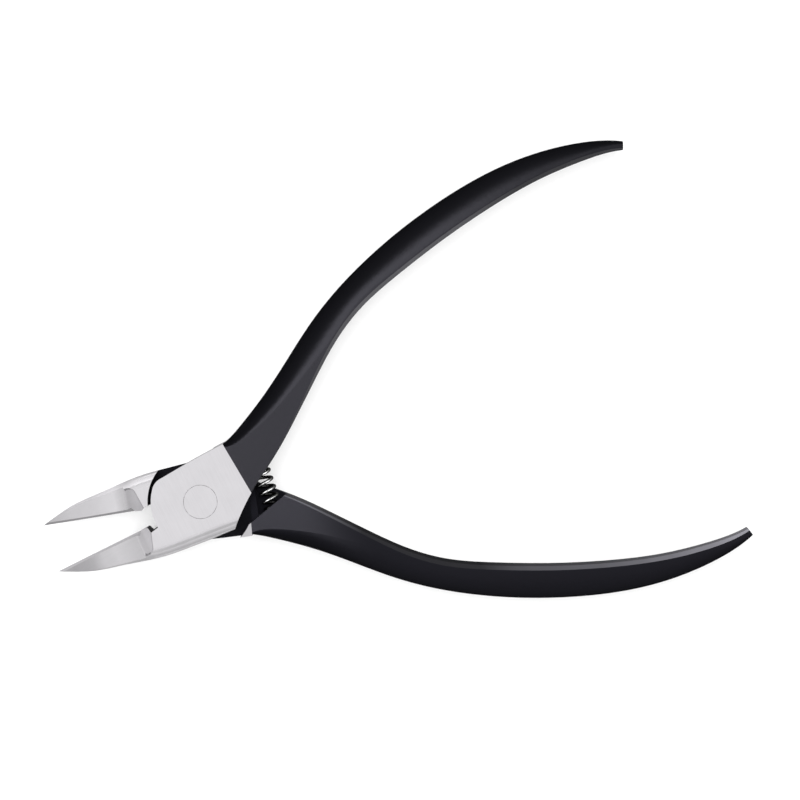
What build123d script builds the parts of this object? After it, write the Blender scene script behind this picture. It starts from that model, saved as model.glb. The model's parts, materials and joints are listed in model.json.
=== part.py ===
from build123d import *
import os
from math import atan, atan2, cos, degrees, radians, sin, sqrt, tan

# Lap-joint nail and cuticle nipper, lying flat, in millimetres.
# Frame: X along the tool's axis with the jaws at -X, Z through the thickness, origin on the pivot
# axis at the underside. The tool is modelled open, as its return spring holds it.
# Each lever is drawn closed, in its own frame: u along the axis, v towards its own handle.
# The back lever is the front one turned over about the axis.

# Driving dimensions
thickness = 7.6          # both laps together
jaw_reach = 29.1         # pivot to jaw tip
open_angle = 17.2        # between the cutting edges at rest
lap_gap = 0.04           # between the two lap faces
edge_gap = 0.02          # each cutting edge's setback, so that closed edges just miss
back_handle_set = 1.6    # degrees by which the back handle is bent towards the axis
bend_station = 20.0      # where along the axis that bend is

lap_radius = 8.95        # rounded front end of each lap
lap_corner = [(-6.8, 5.82), (-5.9, 6.6), (-4.6, 6.94)]   # where that end turns into the back
lap_back = (1.6, 7.33)   # point of the back between that corner and the handle
lap_front = [(6.3, -4.6), (3.9, -6.68), (3.35, -7.2), (2.5, -7.6)]   # from the handle to the outer edge
jaw_recess_radius = 9.5  # shoulder in each jaw that clears the other lever's lap
grip_recess_radius = 9.65
grip_shoulder_offset = 8.71   # pivot to the line of the straight shoulder in the handle
grip_shoulder_angle = 59.7    # direction of that shoulder's normal from the axis
jaw_recess_end = 235.0   # directions, from the pivot, where the two curved shoulders run out
grip_recess_end = 60.0

edge_roll = 2.2          # plan width of the rolled outer edge of lap and jaw
outer_edge = [(7.5, -8.0), (2.4, -7.5), (-4.5, -6.86), (-11.1, -6.04), (-17.3, -4.44), (-23.5, -2.72),
              (-26.4, -1.42), (-jaw_reach, -edge_gap), (-31.2, 1.3)]   # that edge, and past the tip
heel = -10.9             # inner end of the cutting edge
heel_round = [(heel, -edge_gap), (heel + 0.17, -0.1), (heel + 0.25, -0.32)]
front_notch_bottom = (-10.45, -1.05)   # relief behind the cutting edge's inner end
back_notch_bottom = (-10.55, -0.5)
notch_depth = 0.76       # where that relief meets the lap
facet_angle = 26.0       # slope of the hollow-ground facet across the jaw
facet_radius = 300.0     # hollow of the facet along the jaw
facet_lowest = -21.0     # where the hollow is deepest
facet_heel = -12.5       # foot of the facet's end wall
facet_wall_lean = 38.7   # of that wall from the facet's normal
facet_wall_radius = 3.2
facet_corner_v = -3.3    # centre of the rounded outer corner of the facet's end wall
facet_corner_radius = 1.6
facet_corner_gap = 0.03  # between that corner and the wall, so that they are not tangent
bevel_angle = 56.0
bevel_width = 0.38
bevel_height = bevel_width * tan(radians(bevel_angle))
bevel_stop = -11.4       # where the bevel ends near the heel
bevel_cut = 1.1          # height and width of the cutter, enough to meet the facet

coat = 0.25              # black coating on the handles
chamfer_width = 0.7      # inner edges of the handles
chamfer_height = 0.85
chamfer_start = 9.0      # distances from the pivot between which the chamfers grow
chamfer_full = 40.0
chamfer_least = 0.15     # their share of the full size at the start
slim_width = 3.2         # a handle narrower than this has smaller chamfers
coat_share = 0.4         # part of the coat's thickness that a chamfer under it is smaller by
least_flat = 0.15        # flat left between a chamfer and the rolled back
taper_start = 55.0       # distance from the pivot where the handle starts to get thinner
taper_end = 100.0
taper_power = 1.5
tip_thickness = 4.6

rivet_radius = 2.3
rivet_head_radius = 3.05
rivet_head_depth = 0.7
rivet_cone_depth = 0.75
rivet_clearance = 0.03

seat_station = 12.6      # spring seat, distance from the pivot along the lever
seat_depth = 4.2
seat_radius = 2.8
spring_radius = 1.75
spring_wire = 0.6
spring_pitch = 1.57
spring_length = 10.9
spring_offset = 0.65     # the spring sits this much nearer to the pivot than its seats

mid = thickness / 2
half_open = open_angle / 2
clear = 12.0             # cutters reach at least this far out, clear of the lever
past_tip = -32.0         # cutters for the jaw start here
spare = 3.0              # width of the spare material beside the jaw

# Handle stations from the lap to the tip: inner edge, outer edge, plan width of the rolled back.
handle_stations = [
    ((8.97, -2.63), (8.25, 7.55), 0.6),
    ((12.6, -0.4), (10.9, 8.35), 1.8),
    ((16.9, 2.2), (14.0, 9.75), 2.5),
    ((22.4, 6.1), (18.8, 12.15), 3.3),
    ((28.6, 10.75), (25.2, 15.9), 4.1),
    ((34.6, 14.95), (31.9, 19.9), 4.7),
    ((41.2, 18.3), (39.2, 23.35), 4.3),
    ((50.0, 20.78), (48.8, 26.55), 4.9),
    ((60.0, 22.8), (59.2, 28.8), 5.1),
    ((70.0, 24.2), (69.8, 29.95), 4.9),
    ((80.0, 24.84), (80.3, 29.6), 3.9),
    ((88.95, 24.35), (89.9, 27.55), 2.4),
    ((94.2, 23.55), (95.05, 25.5), 1.0),
    ((96.35, 22.9), (97.05, 24.35), 0.6),
]


def on_circle(radius, v):
    """Point of the circle about the pivot at height v, on the jaw side."""
    return (-sqrt(radius ** 2 - v ** 2), v)


def polar(radius, angle):
    return (radius * cos(radians(angle)), radius * sin(radians(angle)))


def prism(edges, low, high):
    """Solid between two heights, over a closed chain of plan edges."""
    return Pos(0, 0, low) * extrude(make_face(edges), high - low)


def head_blank(notch_bottom):
    """Lap and jaw of one lever at full thickness, with spare material outside the outer edge."""
    lap_start = on_circle(lap_radius, -notch_depth)
    lap_middle = on_circle(lap_radius, lap_corner[0][1] / 2)
    grip_bottom, grip_top, _ = handle_stations[0]
    front_end = lap_front[-1]
    tip = (past_tip + 1, -edge_gap)
    outline = [
        Line(tip, heel_round[0]),
        ThreePointArc(*heel_round),
        Polyline(heel_round[-1], notch_bottom, lap_start),
        ThreePointArc(lap_start, lap_middle, lap_corner[0]),
        ThreePointArc(*lap_corner),
        ThreePointArc(lap_corner[-1], lap_back, grip_top),
        Line(grip_top, grip_bottom),
        ThreePointArc(grip_bottom, *lap_front[:2]),
        ThreePointArc(*lap_front[1:]),
        Polyline(front_end, (front_end[0], -clear), (tip[0], -spare), tip),
    ]
    return prism(outline, 0, thickness)


def rolled_edge_cutter():
    """Everything outside the outer edge of lap and jaw, which is a half ellipse in section."""
    path = Pos(0, 0, mid) * Spline(*outer_edge)
    start = path @ 0
    along = path % 0
    inward = Vector(along.Y, -along.X, 0)
    top = mid + 1
    outside = -5
    profile = make_face([
        EllipticalCenterArc((edge_roll, 0), edge_roll, mid, start_angle=90, arc_size=180),
        Polyline((edge_roll, -mid), (edge_roll, -top), (outside, -top), (outside, top),
                 (edge_roll, top), (edge_roll, mid)),
    ])
    return sweep(Plane(origin=start, x_dir=inward, z_dir=along) * profile, path=path)


def facet_cutter():
    """Form wheel that hollows the upper face of the jaw and ends in a leaning wall at the heel."""
    slope = radians(facet_angle)
    lean = tan(radians(facet_wall_lean))
    origin = Vector(0, -edge_gap - bevel_width, mid + bevel_height)
    face = Plane(origin=origin, x_dir=(1, 0, 0), z_dir=(0, -cos(slope), sin(slope)))
    height = 7.0
    wall_top = (facet_heel + height * lean, height)
    sag_left = (past_tip - facet_lowest) ** 2 / (2 * facet_radius)
    sag_heel = (facet_heel - facet_lowest) ** 2 / (2 * facet_radius)
    wall_foot = (facet_heel + sag_heel * lean, sag_heel)
    profile = make_face([
        ThreePointArc((past_tip, sag_left), (facet_lowest, 0), wall_foot),
        Polyline(wall_foot, wall_top, (past_tip, height), (past_tip, sag_left)),
    ])
    corner = profile.vertices().sort_by(lambda p: abs(p.X - wall_foot[0]) + abs(p.Y - wall_foot[1]))[0]
    profile = fillet(corner, facet_wall_radius)
    wheel = extrude(face * profile, clear, both=True)
    # The outer corner is a cone that all but touches the wall along one line
    skew = lean * sin(slope)
    stretch = sqrt(1 + skew ** 2)
    above = (facet_corner_v - origin.Y) * sin(slope) + (thickness - origin.Z) * cos(slope)
    reach = facet_corner_radius * stretch + facet_corner_gap
    centre = Vector(facet_heel + lean * above - reach, facet_corner_v, 0)
    depth = facet_corner_radius * stretch / (lean * cos(slope))
    pocket = Pos(0, 0, thickness - depth / 2) * Cone(0, facet_corner_radius, depth)
    block = Rot(0, 0, -degrees(atan(skew))) * Pos(0, 0, mid) * Box(
        clear, clear, clear, align=(Align.MIN, Align.MAX, Align.MIN))
    return wheel - Pos(centre) * (block - pocket)


def bevel_cutter():
    """Upper half of the cutting bevel."""
    run = bevel_cut / tan(radians(bevel_angle))
    side = Plane(origin=(past_tip, -edge_gap, mid), x_dir=(0, 1, 0), z_dir=(1, 0, 0))
    profile = make_face(Polyline((0, 0), (-run, bevel_cut), (bevel_cut, bevel_cut), (bevel_cut, 0), (0, 0)))
    return extrude(side * profile, bevel_stop - past_tip)


def recess_cutter(inset=0.0):
    """Room for the other lever's lap, under this lever's lap."""
    offset = grip_shoulder_offset + inset
    radius = grip_recess_radius + inset
    normal = radians(grip_shoulder_angle)
    reach = sqrt(radius ** 2 - offset ** 2)
    out = Vector(cos(normal), sin(normal)) * offset
    along = Vector(sin(normal), -cos(normal))
    corner = out + along * reach
    line_end = out + along * (2 * clear)
    bend = polar(radius, (degrees(atan2(corner.Y, corner.X)) + grip_recess_end) / 2)
    jaw_start = on_circle(jaw_recess_radius, -notch_depth)
    jaw_end = polar(jaw_recess_radius, jaw_recess_end)
    jaw_middle = on_circle(jaw_recess_radius, (jaw_start[1] + jaw_end[1]) / 2)
    grip_start = polar(radius, grip_recess_end)
    left = -jaw_recess_radius - 0.4
    outline = [
        Polyline(jaw_start, (left, -notch_depth), (left, clear), (grip_start[0], clear), grip_start),
        ThreePointArc(grip_start, bend, corner),
        Polyline(corner, line_end, (line_end.X, -clear), (jaw_end[0], -clear), jaw_end),
        ThreePointArc(jaw_end, jaw_middle, jaw_start),
    ]
    return prism(outline, -1, mid + lap_gap / 2 + inset)


def seat_cutter(inset=0.0):
    """Blind bore that holds one end of the spring, square to the lever's axis."""
    bottom = seat_depth + inset
    mouth = Plane(origin=(seat_station, bottom, mid), z_dir=(0, -1, 0))
    return extrude(mouth * Circle(seat_radius + inset), clear)


def handle_section(station, inset, setting, last=False):
    """One section of a handle: flat inner wall, two chamfers, flat sides and a rolled back."""
    inner, outer, roll = station
    turn = Pos(bend_station, 0, 0) * Rot(0, 0, -setting) * Pos(-bend_station, 0, 0)
    inner = (turn * Pos(*inner, 0)).position
    outer = (turn * Pos(*outer, 0)).position
    across = (outer - inner).normalized()
    width = (outer - inner).length - 2 * inset
    distance = inner.length
    taper = min(max((distance - taper_start) / (taper_end - taper_start), 0), 1)
    half = mid - (thickness - tip_thickness) / 2 * taper ** taper_power - inset
    growth = min(max((distance - chamfer_start) / (chamfer_full - chamfer_start), chamfer_least), 1)
    share = growth * min(width / slim_width, 1)
    chamfer_w = (chamfer_width - coat_share * inset) * share
    chamfer_h = (chamfer_height - coat_share * inset) * share
    roll = min(roll, width - chamfer_w - least_flat)
    origin = inner + across * inset + Vector(0, 0, mid)
    along = Vector(across.Y, -across.X, 0)
    if last:
        origin = origin - along * inset
    section = Plane(origin=origin, x_dir=across, z_dir=along)
    outline = [
        Line((0, half - chamfer_h), (0, chamfer_h - half)),
        Line((0, chamfer_h - half), (chamfer_w, -half)),
        Line((chamfer_w, -half), (width - roll, -half)),
        EllipticalCenterArc((width - roll, 0), roll, half, start_angle=270, arc_size=90),
        EllipticalCenterArc((width - roll, 0), roll, half, start_angle=0, arc_size=90),
        Line((width - roll, half), (chamfer_w, half)),
        Line((chamfer_w, half), (0, half - chamfer_h)),
    ]
    return section * make_face(outline)


def handle_solid(setting, inset=0.0):
    """Handle of one lever, shrunk by inset on every side, with its recess and spring seat."""
    sections = []
    for index, station in enumerate(handle_stations):
        turned = setting if index > 0 else 0.0
        last = index == len(handle_stations) - 1
        sections.append(handle_section(station, inset, turned, last))
    return loft(sections) - recess_cutter(inset) - seat_cutter(inset)


def rivet(clearance=0.0):
    """Flush pivot rivet: a shank with a countersunk head at each face."""
    head = rivet_head_radius + clearance
    shank = rivet_radius + clearance
    cone_end = rivet_head_depth + rivet_cone_depth
    outline = Polyline((0, 0), (head, 0), (head, rivet_head_depth), (shank, cone_end),
                       (shank, thickness - cone_end), (head, thickness - rivet_head_depth),
                       (head, thickness), (0, thickness), (0, 0))
    return revolve(Plane.XZ * make_face(outline), Axis.Z)


def mirrored(cutter):
    """The same cutter for the underside."""
    return mirror(cutter, Plane.XY.offset(mid))


def lever(setting, notch_bottom, bore_clearance):
    """Steel forging and handle coating of one lever, closed and face up."""
    head = head_blank(notch_bottom) - rolled_edge_cutter()
    for cutter in (facet_cutter(), bevel_cutter()):
        head = head - cutter - mirrored(cutter)
    head = head - recess_cutter()
    core = handle_solid(setting, coat)
    coating = handle_solid(setting) - core
    steel = head + core - rivet(bore_clearance)
    return steel, coating


def return_spring():
    """Helical compression spring between the two seats, square to the tool's axis."""
    coil_radius = spring_radius - spring_wire / 2
    height = spring_length - spring_wire
    path = Helix(pitch=spring_pitch, height=height, radius=coil_radius)
    wire = sweep(Plane(origin=path @ 0, z_dir=path % 0) * Circle(spring_wire / 2), path=path,
                 is_frenet=True)
    return Pos(seat_station - spring_offset, height / 2, mid) * Rot(90, 0, 0) * wire


open_front = Rot(0, 0, half_open)
open_back = Rot(0, 0, -half_open)
turn_over = Pos(0, 0, thickness) * Rot(180, 0, 0)

front_steel, front_coating = lever(0.0, front_notch_bottom, rivet_clearance)
back_steel, back_coating = lever(back_handle_set, back_notch_bottom, 0.0)

nodes = {
    "front_lever": open_front * front_steel,
    "front_handle_coating": open_front * front_coating,
    "back_lever": open_back * turn_over * back_steel,
    "back_handle_coating": open_back * turn_over * back_coating,
    "pivot_rivet": rivet(),
    "return_spring": return_spring(),
}

os.makedirs("parts", exist_ok=True)
for name, shape in nodes.items():
    export_step(shape, "parts/" + name + ".step")
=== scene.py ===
import json
from math import cos, pi, radians, sin, tau

import bpy
from mathutils import Matrix, Vector


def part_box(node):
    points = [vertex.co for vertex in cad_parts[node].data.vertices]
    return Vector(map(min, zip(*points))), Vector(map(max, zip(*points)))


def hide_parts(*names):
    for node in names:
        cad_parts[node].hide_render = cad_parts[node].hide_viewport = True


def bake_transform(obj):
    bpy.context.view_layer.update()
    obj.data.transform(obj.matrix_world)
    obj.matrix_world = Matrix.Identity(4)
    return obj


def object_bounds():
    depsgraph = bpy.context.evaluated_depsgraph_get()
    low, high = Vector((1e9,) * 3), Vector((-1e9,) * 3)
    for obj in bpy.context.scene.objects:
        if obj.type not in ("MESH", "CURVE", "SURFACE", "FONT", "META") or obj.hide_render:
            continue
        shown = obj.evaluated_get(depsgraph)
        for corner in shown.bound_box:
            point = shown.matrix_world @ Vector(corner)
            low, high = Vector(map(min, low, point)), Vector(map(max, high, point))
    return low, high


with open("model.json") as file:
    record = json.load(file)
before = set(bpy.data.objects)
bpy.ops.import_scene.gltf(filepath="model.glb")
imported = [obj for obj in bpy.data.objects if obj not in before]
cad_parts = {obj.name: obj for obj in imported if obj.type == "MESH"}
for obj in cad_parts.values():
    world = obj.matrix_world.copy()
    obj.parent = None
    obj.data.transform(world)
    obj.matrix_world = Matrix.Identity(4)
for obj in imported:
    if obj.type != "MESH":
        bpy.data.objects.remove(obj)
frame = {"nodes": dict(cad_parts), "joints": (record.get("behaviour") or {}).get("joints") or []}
cad_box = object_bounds()

MM = 0.001
PIVOT = frame["joints"][0]
HALF_OPEN = radians(PIVOT["range_deg"][1]) / 2
MID = PIVOT["pos_m"][2]          # height of the plane between the two laps
TOP = 2 * MID

# Camera
REACH = 0.144                    # width of the view across the tool
AXIS_RISE = radians(17.8)        # the tool's axis rises to the right by this much
TILT = radians(3.0)              # lean of the camera away from straight down
DISTANCE = 0.62
SENSOR = 36.0                    # width of the camera's sensor, in its own millimetres
AIM = (36.0, 18.4)               # middle of the view from the pivot, to the right and up, in millimetres
LIT_POINT = (0.03, 0, 0)         # where the softboxes point

# Places on a closed lever, in millimetres: u along the axis, v towards its own handle
RECESS_TOP = MID / MM + 0.04
JAW_RECESS_RADIUS = 9.53
GRIP_RECESS_RADIUS = 9.68
SHOULDER = 8.74                  # pivot to the straight shoulder in the handle
SHOULDER_ANGLE = radians(59.7)
SEAT = (12.6, 2.83)              # spring seat: u of its axis, radius
NOTCH = (-10.95, -8.8, -1.2)     # relief at the jaw's heel: u from, u to, v above

COOL = (0.96, 0.94, 1.10)        # tint of the softboxes over the handles
STEEL = (0.78, 0.765, 0.79)      # reflectance of the ground steel
BEVEL_SHADE = 0.64                # painted shade: darker tone of the bevel along the cutting edge
END_WALL_SHADE = (3.4, 3.75, 0.72)        # painted shade along the edges of the facet's end wall: heights from the middle, tone
BACK_ROOT = (3.0, 5.0, 0.78)     # back lever behind the pivot: from, to, tone
SHADE_BLUE = 1.4                  # blue of the painted recess shade over its red and green
RIVET_EDGE = (2.95, 3.02)        # where the fine line round the rivet's head starts and is full
SEAT_SHADE = (3.7, 4.2)           # along the spring from its middle: where the painted shade in the seats starts and is full

# Faces told apart by their normal in a closed lever's own frame: its share where each starts and is full
FLAT_FACE = (0.975, 0.995)       # up or down: the flats
STEEP = 0.3                      # up or down: the most that it is on a wall
HEEL_WALL = (-0.12, -0.3)        # along u: the facet's end wall
FACET_OVER_FLAT = (0.25, 0.38)   # along v: the facet, apart from flatter faces
FACET_OVER_BEVEL = (0.68, 0.55)  # along v: the facet, apart from the steeper bevel
BEVEL = (0.6, 0.75)              # along v: the bevel
INNER_SIDE = (0.3, 0.6)          # against v: the side of a handle that faces the other handle
INNER_SQUARE = (0.7, 0.95)       # against v: the part that faces it squarely

HEEL_ROUGHNESS = 0.6             # of the facet's end wall
SHADE_ROUGHNESS = 0.55            # of the steel under the painted recess shade
HIDDEN_ROUGHNESS = 0.9           # of the coating where the other lap runs and in the spring seat
GLOSS = 0.05                     # specular level of the steel under the painted recess shade and of the coating

# Grey of the painted sheen along the inner edge of each handle, at distances u from the pivot
FRONT_SHEEN = ((12, 0.014), (30, 0.036), (42, 0.046), (64, 0.042), (76, 0.02), (96, 0.02))
BACK_SHEEN = ((12, 0.03), (18, 0.03), (28, 0.004), (48, 0.004), (57, 0.016), (66, 0.018), (77, 0.026),
             (90, 0.040), (96, 0.062))
# How much the painted sheen grows towards the outline
FRONT_SHEEN_GROWTH = 1.1
BACK_SHEEN_GROWTH = 1.9
# Where each coating turns more matte along the handle, and by how much
FRONT_MATTE = (60.0, 95.0, 0.10)
BACK_MATTE = (15.0, 31.0, 0.52)
# Painted reflection: tone of the hollow-ground facet of each jaw, in lighter and darker bands, at
# distances u from the pivot
FRONT_FACET_REFLECTION = ((-29, 0.64), (-26, 0.55), (-24, 0.58), (-22.5, 0.64), (-20.5, 0.82), (-18, 0.88),
               (-15, 0.80), (-13, 0.73), (-12.3, 0.76), (-11.5, 0.98))
BACK_FACET_REFLECTION = ((-29, 0.82), (-26, 0.92), (-24, 1.0), (-20, 1.03), (-17, 1.12), (-15.5, 1.15),
              (-14, 0.92), (-12.8, 0.76), (-12.2, 0.8), (-11.5, 0.9))


# ---------------------------------------------------------------- node trees

class Tree:
    """Short way to write the nodes of one material or of the world."""

    def __init__(self, owner, shader="Principled BSDF"):
        owner.use_nodes = True
        self.owner = owner
        self.tree = owner.node_tree
        self.shader = self.tree.nodes[shader]

    def add(self, kind, inputs, **settings):
        node = self.tree.nodes.new("ShaderNode" + kind)
        for key, value in settings.items():
            setattr(node, key, value)
        for key, value in inputs.items():
            self.put(node.inputs[key], value)
        return node

    def put(self, socket, value):
        if isinstance(value, bpy.types.NodeSocket):
            self.tree.links.new(value, socket)
        else:
            socket.default_value = value

    def set(self, **inputs):
        """Inputs of the shader; an underscore in a name stands for a space."""
        for key, value in inputs.items():
            self.put(self.shader.inputs[key.replace("_", " ")], value)

    def math(self, operation, *values):
        return self.add("Math", dict(enumerate(values)), operation=operation).outputs[0]

    def step(self, value, low, high):
        """Smooth rise from 0 at low to 1 at high; low may be the greater one."""
        inputs = {"Value": value, "From Min": low, "From Max": high}
        return self.add("MapRange", inputs, interpolation_type="SMOOTHSTEP").outputs[0]

    def scale(self, value, low, high):
        """A value from 0 to 1 stretched to low and high."""
        return self.add("MapRange", {"Value": value, "To Min": low, "To Max": high}).outputs[0]

    def both(self, *values):
        result = values[0]
        for value in values[1:]:
            result = self.math("MULTIPLY", result, value)
        return result

    def mix(self, factor, first, second):
        node = self.add("Mix", {0: factor, 6: first, 7: second}, data_type="RGBA")
        return node.outputs[2]

    def blend(self, factor, first, second):
        return self.add("Mix", {0: factor, 2: first, 3: second}, data_type="FLOAT").outputs[0]

    def noise(self, vector, scale, detail=2.0, roughness=0.5):
        inputs = {"Vector": vector, "Scale": scale, "Detail": detail, "Roughness": roughness}
        return self.add("TexNoise", inputs).outputs[0]

    def stretch(self, vector, factors):
        return self.add("VectorMath", {0: vector, 1: factors}, operation="MULTIPLY").outputs[0]

    def bump(self, height, depth, strength=1.0, below=None):
        inputs = {"Height": height, "Distance": depth, "Strength": strength}
        if below is not None:
            inputs["Normal"] = below
        return self.add("Bump", inputs).outputs[0]

    def place(self, side):
        """Position and normal in a closed lever's own frame, in mm. side is 1 for the front one."""
        source = self.add("TexCoord", {})
        turn = (0, 0, -HALF_OPEN)
        size = (1 / MM, side / MM, side / MM)
        shift = (0, 0, 0 if side > 0 else TOP / MM)
        position = self.add("Mapping", {"Vector": source.outputs["Object"], "Location": shift,
                                        "Rotation": turn, "Scale": size}).outputs[0]
        normal = self.add("Mapping", {"Vector": source.outputs["Normal"], "Rotation": turn,
                                      "Scale": (1, side, side)}, vector_type="VECTOR").outputs[0]
        return position, normal

    def parts(self, vector):
        return self.add("SeparateXYZ", {"Vector": vector}).outputs

    def length(self, first, second):
        return self.math("SQRT", self.math("ADD", self.both(first, first), self.both(second, second)))

    def dot(self, first, second):
        return self.add("VectorMath", {0: first, 1: second}, operation="DOT_PRODUCT").outputs["Value"]

    def ramp(self, value, low, high, stops):
        """Grey level along a value that runs from low to high, by (value, level) stops."""
        share = self.add("MapRange", {"Value": value, "From Min": low, "From Max": high}).outputs[0]
        node = self.add("ValToRGB", {0: share})
        colours = node.color_ramp.elements
        while len(colours) < len(stops):
            colours.new(0.5)
        for colour, (place, level) in zip(colours, stops):
            colour.position = (place - low) / (high - low)
            colour.color = (level, level, level, 1)
        return node.outputs[0]


def grey(value, warm=0.0):
    return (value * (1 + warm), value, value * (1 - warm), 1)


# ---------------------------------------------------------------- materials

def ground_steel(tree, position, normal, facet_reflection=None):
    """Cross-ground flats, smoother ground slopes. On a jaw, painted reflection along the facet and painted
    shade on the bevel and along the end wall's edges. Gives colour, roughness and bump.
    """
    ahead, across, along_z = tree.parts(normal)
    flat = tree.step(tree.math("ABSOLUTE", along_z), *FLAT_FACE)
    heel = tree.step(ahead, *HEEL_WALL)
    fine = tree.noise(tree.stretch(position, (7.0, 0.22, 0.5)), 1.0, 3.0, 0.6)
    wide = tree.noise(tree.stretch(position, (1.9, 0.07, 0.5)), 1.0, 2.0, 0.5)
    cloud = tree.noise(position, 0.35, 2.0)
    lines = tree.blend(0.35, fine, wide)
    polish = tree.noise(tree.stretch(position, (0.5, 2.2, 2.2)), 1.0, 3.0, 0.6)
    tone = tree.blend(flat, tree.scale(polish, 0.93, 1.03), tree.scale(lines, 0.88, 1.09))
    tone = tree.both(tone, tree.scale(cloud, 0.96, 1.04))
    if facet_reflection:
        facet = tree.both(tree.step(across, *FACET_OVER_FLAT), tree.step(across, *FACET_OVER_BEVEL))
        facet = tree.math("MAXIMUM", facet, heel)
        # Painted shade: the bevel along the cutting edge is darkened
        bevel = tree.step(across, *BEVEL)
        # Painted reflection: lighter and darker bands along the facet, from the heel to the tip
        along = tree.ramp(tree.parts(position)[0], -30.0, -11.0, facet_reflection)
        # Painted shade: the end wall darkens towards its top and bottom edges
        from_middle = tree.math("ABSOLUTE", tree.math("SUBTRACT", tree.parts(position)[2], MID / MM))
        start, full, end_wall_shade_tone = END_WALL_SHADE
        end_wall_shade = tree.both(heel, tree.step(from_middle, start, full))
        tone = tree.both(tone, tree.blend(facet, 1.0, along), tree.blend(bevel, 1.0, BEVEL_SHADE),
                         tree.blend(end_wall_shade, 1.0, end_wall_shade_tone))
    colour = tree.add("VectorMath", {0: STEEL, 3: tone}, operation="SCALE").outputs[0]
    rough = tree.blend(flat, tree.scale(polish, 0.18, 0.26), tree.scale(lines, 0.30, 0.50))
    rough = tree.blend(heel, rough, HEEL_ROUGHNESS)
    cuts = tree.bump(tree.both(lines, flat), 0.012 * MM)
    cuts = tree.bump(polish, 0.004 * MM, below=cuts)
    return colour, rough, cuts


def lap_recess(tree, position):
    """1 where the other lever's lap runs, on the floor and on the shoulders."""
    u, v, z = tree.parts(position)
    limit = tree.blend(tree.step(u, -0.5, 0.5), JAW_RECESS_RADIUS, GRIP_RECESS_RADIUS)
    round_part = tree.math("LESS_THAN", tree.length(u, v), limit)
    across = tree.dot(position, (cos(SHOULDER_ANGLE), sin(SHOULDER_ANGLE), 0))
    straight_part = tree.both(tree.math("LESS_THAN", across, SHOULDER),
                              tree.math("GREATER_THAN", u, 0.0))
    inside = tree.math("MAXIMUM", round_part, straight_part)
    return tree.both(inside, tree.math("LESS_THAN", z, RECESS_TOP))


def lever_steel(name, side, facet_reflection):
    """Ground stainless steel with painted shade: near-black where the other lever's lap runs and on the
    walls of the front one's relief.
    """
    tree = Tree(bpy.data.materials.new(name))
    position, normal = tree.place(side)
    u, v = tree.parts(position)[:2]
    colour, rough, cuts = ground_steel(tree, position, normal, facet_reflection)
    # Painted shade: near-black, non-metallic colour on the recess where the other lap runs and on the
    # walls of the front lever's relief
    recess = lap_recess(tree, position)
    wall = tree.math("LESS_THAN", tree.math("ABSOLUTE", tree.parts(normal)[2]), STEEP)
    notch = tree.both(tree.math("GREATER_THAN", u, NOTCH[0]), tree.math("LESS_THAN", u, NOTCH[1]),
                      tree.math("GREATER_THAN", v, NOTCH[2]), wall)
    if side > 0:
        painted_shade = tree.math("MAXIMUM", recess, notch)
    else:
        painted_shade = recess
        start, full, root_tone = BACK_ROOT
        root = tree.scale(tree.step(u, start, full), 1.0, root_tone)
        colour = tree.add("VectorMath", {0: colour, 3: root}, operation="SCALE").outputs[0]
    recess_shade = tree.scale(tree.noise(position, 3.0, 3.0), 0.002, 0.006)
    blue = tree.math("MULTIPLY", recess_shade, SHADE_BLUE)
    recess_shade = tree.add("CombineXYZ", {"X": recess_shade, "Y": recess_shade, "Z": blue}).outputs[0]
    tree.set(Base_Color=tree.mix(painted_shade, colour, recess_shade), Metallic=tree.math("SUBTRACT", 1.0, painted_shade),
             Roughness=tree.blend(painted_shade, rough, SHADE_ROUGHNESS), Specular_IOR_Level=GLOSS, Normal=cuts)
    return tree.owner


def rivet_steel():
    """The same grinding runs over the rivet, which shows only by the fine line round it."""
    tree = Tree(bpy.data.materials.new("rivet_steel"))
    position, normal = tree.place(1)
    u, v = tree.parts(position)[:2]
    colour, rough, cuts = ground_steel(tree, position, normal)
    rim = tree.step(tree.length(u, v), *RIVET_EDGE)
    broken = tree.step(tree.noise(position, 1.3, 2.0), 0.38, 0.62)
    line = tree.both(rim, tree.scale(broken, 0.1, 0.75))
    tree.set(Base_Color=tree.mix(line, colour, grey(0.2, 0.03)), Metallic=1.0, Roughness=rough,
             Normal=cuts)
    return tree.owner


def black_coating(name, side, sheen_levels, sheen_growth, matte):
    """Satin black coating with a fine grain, with a painted sheen of lighter grey along the handle's inner
    edges.
    """
    tree = Tree(bpy.data.materials.new(name))
    position, normal = tree.place(side)
    u, _, z = tree.parts(position)
    inward = tree.math("MULTIPLY", tree.parts(normal)[1], -1.0)
    grain = tree.noise(position, 5.0, 3.0, 0.6)
    cloud = tree.noise(position, 0.18, 2.0)
    to_seat = tree.length(tree.math("SUBTRACT", u, SEAT[0]), tree.math("SUBTRACT", z, MID / MM))
    hidden = tree.math("MAXIMUM", lap_recess(tree, position), tree.math("LESS_THAN", to_seat, SEAT[1]))
    shown = tree.math("SUBTRACT", 1.0, hidden)
    # Painted sheen: lighter grey on the side facing the other handle, more where it faces it squarely
    sheen_gain = tree.scale(tree.step(inward, *INNER_SQUARE), 1.0, sheen_growth)
    sheen_mask = tree.both(tree.step(inward, *INNER_SIDE), sheen_gain, shown)
    black = tree.mix(grain, (0.0004, 0.0004, 0.0006, 1), (0.0013, 0.0013, 0.0018, 1))
    level = tree.both(tree.ramp(u, 0.0, 100.0, sheen_levels), tree.scale(cloud, 0.85, 1.15))
    sheen_grey = tree.add("CombineXYZ", {"X": level, "Y": level, "Z": level}).outputs[0]
    start, end, extra = matte
    rough = tree.math("ADD", tree.scale(grain, 0.30, 0.40), tree.both(tree.step(u, start, end), extra))
    tree.set(Base_Color=tree.mix(sheen_mask, black, sheen_grey), Metallic=0.0,
             Roughness=tree.blend(hidden, rough, HIDDEN_ROUGHNESS), Specular_IOR_Level=GLOSS,
             Normal=tree.bump(grain, 0.006 * MM))
    return tree.owner


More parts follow.
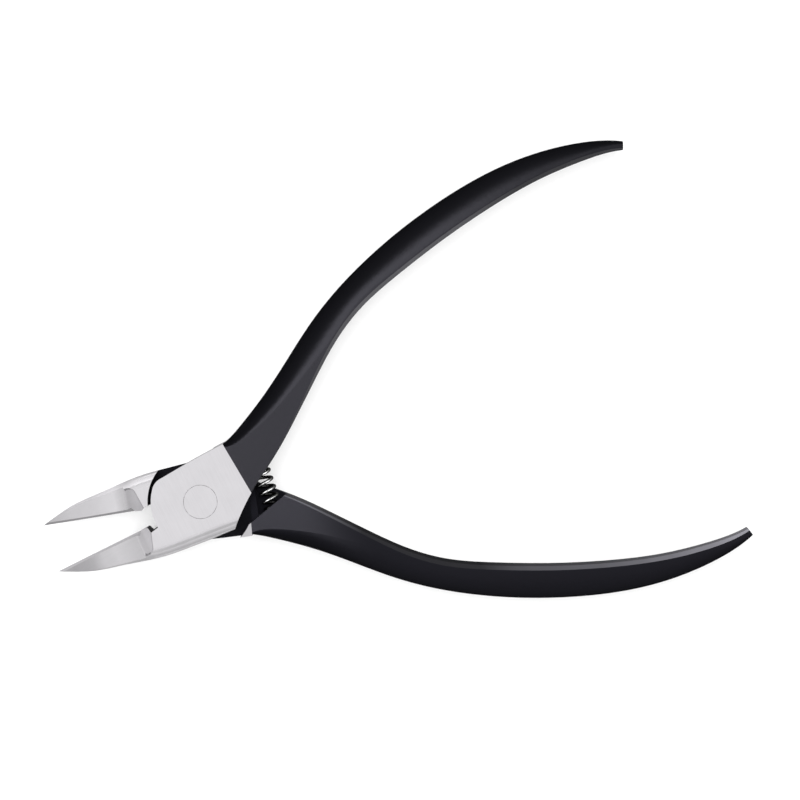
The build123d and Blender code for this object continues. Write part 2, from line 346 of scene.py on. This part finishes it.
def spring_wire():
    """Bright drawn wire with faint draw marks, with painted shade on the inside of the coil and down in
    the seats.
    """
    low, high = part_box("return_spring")
    centre = (low + high) / 2
    tree = Tree(bpy.data.materials.new("spring_wire"))
    source = tree.add("TexCoord", {})
    from_centre = tree.add("VectorMath", {0: source.outputs["Object"], 1: tuple(centre)},
                           operation="SUBTRACT").outputs[0]
    position = tree.stretch(from_centre, (1 / MM, 1 / MM, 1 / MM))
    radial = tree.add("VectorMath", {0: tree.stretch(position, (1, 0, 1))},
                      operation="NORMALIZE").outputs[0]
    outward = tree.dot(radial, source.outputs["Normal"])
    depth = tree.math("ABSOLUTE", tree.parts(position)[1])
    # Painted shade on the inside of the coil and down in the seats
    painted_shade = tree.math("MAXIMUM", tree.step(outward, 0.1, -0.3), tree.step(depth, *SEAT_SHADE))
    marks = tree.noise(position, 6.0, 3.0, 0.6)
    bright = tree.mix(marks, grey(0.34), grey(0.44))
    tree.set(Base_Color=tree.mix(painted_shade, bright, grey(0.03)), Metallic=1.0,
             Roughness=tree.scale(marks, 0.06, 0.16), Normal=tree.bump(marks, 0.003 * MM))
    return tree.owner


def floor_paper():
    tree = Tree(bpy.data.materials.new("floor_paper"))
    position = tree.add("TexCoord", {}).outputs["Object"]
    fibre = tree.noise(position, 900.0, 3.0)
    tree.set(Base_Color=tree.mix(fibre, grey(0.50), grey(0.53)), Metallic=0.0, Roughness=0.7,
             Specular_IOR_Level=0.2, Emission_Color=grey(1.0), Emission_Strength=0.45)
    return tree.owner


# ---------------------------------------------------------------- pieces

def round_wire(name, centre, steps, radius, sides):
    """Tube of round wire along centre(t), t from 0 to 1, closed by domed ends."""
    verts = []
    for i in range(steps + 1):
        point = centre(i / steps)
        along = (centre(min(i + 0.5, steps) / steps) - centre(max(i - 0.5, 0) / steps)).normalized()
        side = along.cross(Vector((0, 1, 0))).normalized()
        across = along.cross(side)
        for k in range(sides):
            angle = tau * k / sides
            verts.append(point + (side * cos(angle) + across * sin(angle)) * radius)
    faces = []
    for i in range(steps):
        for k in range(sides):
            n = (k + 1) % sides
            faces.append((i * sides + k, i * sides + n, (i + 1) * sides + n, (i + 1) * sides + k))
    faces.append(tuple(reversed(range(sides))))
    faces.append(tuple(steps * sides + k for k in range(sides)))
    mesh = bpy.data.meshes.new(name)
    mesh.from_pydata([tuple(v) for v in verts], [], faces)
    mesh.validate()
    mesh.polygons.foreach_set("use_smooth", [len(p.vertices) == 4 for p in mesh.polygons])
    piece = bpy.data.objects.new(name, mesh)
    bpy.context.scene.collection.objects.link(piece)
    return piece


def return_spring(material):
    """Compression spring with closed end turns, between its seats in the two handles."""
    low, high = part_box("return_spring")
    middle = (low + high) / 2
    wire = 0.6 * MM
    coil = (high.x - low.x - wire) / 2
    pitch = 1.57 * MM
    closed_pitch = 0.62 * MM
    closed_turns = 0.5
    half = (high.y - low.y - wire) / 2
    open_turns = (half - closed_pitch * closed_turns) / pitch
    turns = open_turns + closed_turns
    steps_per_turn = 56
    sides = 20

    def centre(t):
        turn = (2 * t - 1) * turns
        rise = min(abs(turn), open_turns) * pitch + max(abs(turn) - open_turns, 0) * closed_pitch
        angle = -tau * turn
        y = rise if turn > 0 else -rise
        return middle + Vector((coil * cos(angle), y, coil * sin(angle)))

    piece = round_wire("coil_spring", centre, int(turns * 2 * steps_per_turn), wire / 2, sides)
    piece.data.materials.append(material)
    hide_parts("return_spring")
    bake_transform(piece)
    return piece


def finish_node(name, material):
    node = frame["nodes"][name]
    node.data.materials.clear()
    node.data.materials.append(material)


# ---------------------------------------------------------------- stage

def add_camera():
    """Camera above the tool, rolled so that the tool's axis rises to the right, and leaning a little."""
    right = Vector((cos(AXIS_RISE), -sin(AXIS_RISE), 0))
    up = Vector((sin(AXIS_RISE), cos(AXIS_RISE), 0))
    target = right * AIM[0] * MM + up * AIM[1] * MM + Vector((0, 0, TOP))
    back = Vector((0, 0, 1)) * cos(TILT) + up * sin(TILT)
    top = up * cos(TILT) - Vector((0, 0, 1)) * sin(TILT)
    camera = bpy.data.objects.new("camera", bpy.data.cameras.new("camera"))
    turn = Matrix((right, top, back)).transposed()
    camera.matrix_world = Matrix.Translation(target + back * DISTANCE) @ turn.to_4x4()
    camera.data.sensor_width = SENSOR
    camera.data.lens = SENSOR / (REACH / DISTANCE)
    camera.data.clip_start = 0.01
    bpy.context.scene.collection.objects.link(camera)
    bpy.context.scene.camera = camera
    return right, up


def add_area(name, place, size, radiance, mirrored=True, lit=(), tint=(1, 1, 1)):
    """Softbox aimed at the tool. radiance is what a mirror would show; lit, if given, is all it lights."""
    light = bpy.data.lights.new(name, "AREA")
    light.shape = "RECTANGLE"
    light.size = size[0]
    light.size_y = size[1]
    light.energy = radiance * pi * size[0] * size[1]
    light.color = tint
    item = bpy.data.objects.new(name, light)
    item.location = place
    aim = Vector(LIT_POINT) - Vector(place)
    item.rotation_euler = aim.to_track_quat("-Z", "Y").to_euler()
    item.visible_glossy = mirrored
    bpy.context.scene.collection.objects.link(item)
    if lit:
        group = bpy.data.collections.new(name + "_lights")
        for piece in lit:
            group.objects.link(piece)
        item.light_linking.receiver_collection = group


def add_world(right, up):
    """Pale studio, dimmer in front of the tool and near the floor, with three soft darker patches."""
    world = bpy.data.worlds.new("world")
    tree = Tree(world, "Background")
    direction = tree.add("TexCoord", {}).outputs["Generated"]
    from_front = ((-1.0, 0.72), (-0.8, 0.86), (0.0, 0.97), (1.0, 0.9))
    from_below = ((-0.7, 0.05), (-0.3, 0.30), (0.0, 0.50), (0.35, 0.92), (0.6, 1.0))
    front = tree.ramp(tree.dot(direction, up), -1.0, 1.0, from_front)
    rise = tree.ramp(tree.dot(direction, (0, 0, 1)), -1.0, 1.0, from_below)
    level = tree.both(front, rise)
    patches = ((-0.75 * right - 0.55 * up + Vector((0, 0, 0.34)), 0.25),
               (0.5 * right + 0.53 * up + Vector((0, 0, 0.68)), 0.3),
               (0.47 * right - 0.67 * up + Vector((0, 0, 0.57)), 0.35))
    rim, core = cos(radians(30)), cos(radians(8))
    for centre, depth in patches:
        near = tree.step(tree.dot(direction, centre.normalized()), rim, core)
        level = tree.both(level, tree.scale(near, 1.0, 1.0 - depth))
    tree.set(Color=tree.add("CombineColor", {0: level, 1: level, 2: level}).outputs[0], Strength=1.0)
    bpy.context.scene.world = world


def add_floor():
    """Plain pale floor under the tool."""
    bpy.ops.mesh.primitive_grid_add(x_subdivisions=4, y_subdivisions=4, size=3,
                                    location=(0, 0, cad_box[0][2]))
    floor = bpy.context.object
    floor.name = "floor"
    floor.data.materials.append(floor_paper())
    floor.visible_glossy = False
    floor.visible_shadow = False


right, up = add_camera()
add_floor()
add_world(right, up)

finish_node("front_lever", lever_steel("front_steel", 1, FRONT_FACET_REFLECTION))
finish_node("back_lever", lever_steel("back_steel", -1, BACK_FACET_REFLECTION))
finish_node("pivot_rivet", rivet_steel())
front_black = black_coating("front_coating", 1, FRONT_SHEEN, FRONT_SHEEN_GROWTH, FRONT_MATTE)
back_black = black_coating("back_coating", -1, BACK_SHEEN, BACK_SHEEN_GROWTH, BACK_MATTE)
finish_node("front_handle_coating", front_black)
finish_node("back_handle_coating", back_black)
spring = return_spring(spring_wire())

overhead = Vector((0, 0, 0.93))
steel = [frame["nodes"][name] for name in ("front_lever", "back_lever", "pivot_rivet")]
front_coat = [frame["nodes"]["front_handle_coating"]]
back_coat = [frame["nodes"]["back_handle_coating"]]
# Softboxes that the handles and the spring mirror
add_area("front_softbox", overhead + up * 0.10 - right * 0.15, (0.62, 0.46), 25.0,
         lit=front_coat, tint=COOL)
add_area("back_softbox", overhead + up * 0.26, (0.8, 0.60), 36.0, lit=back_coat, tint=COOL)
add_area("left_spring_box", overhead - right * 0.75, (1.3, 1.3), 3.0, lit=[spring])
add_area("right_spring_box", overhead + right * 0.75, (1.3, 1.3), 3.0, lit=[spring])
# Panels round the tool that only the steel mirrors
add_area("far_panel", up * 1.2 - Vector((0, 0, 0.5)), (2.6, 1.6), 0.8, lit=steel)
add_area("near_panel", up * -1.2 - Vector((0, 0, 0.5)), (2.6, 1.6), 0.4, lit=steel)
add_area("tip_panel", right * -1.15 - up * 0.15 + Vector((0, 0, 0.12)), (2.0, 1.6), 0.4,
         lit=steel)
add_area("low_panel", Vector((0, 0, -1.2)), (2.4, 2.4), 0.45, lit=steel)
# General light, which nothing mirrors
add_area("ceiling", up * 0.2 + Vector((0, 0, 1.2)), (2.0, 2.0), 1.9, mirrored=False)
add_area("key", up * 0.65 + Vector((0, 0, 0.75)), (0.35, 0.35), 6.0, mirrored=False)

bpy.context.scene.view_settings.view_transform = "Standard"
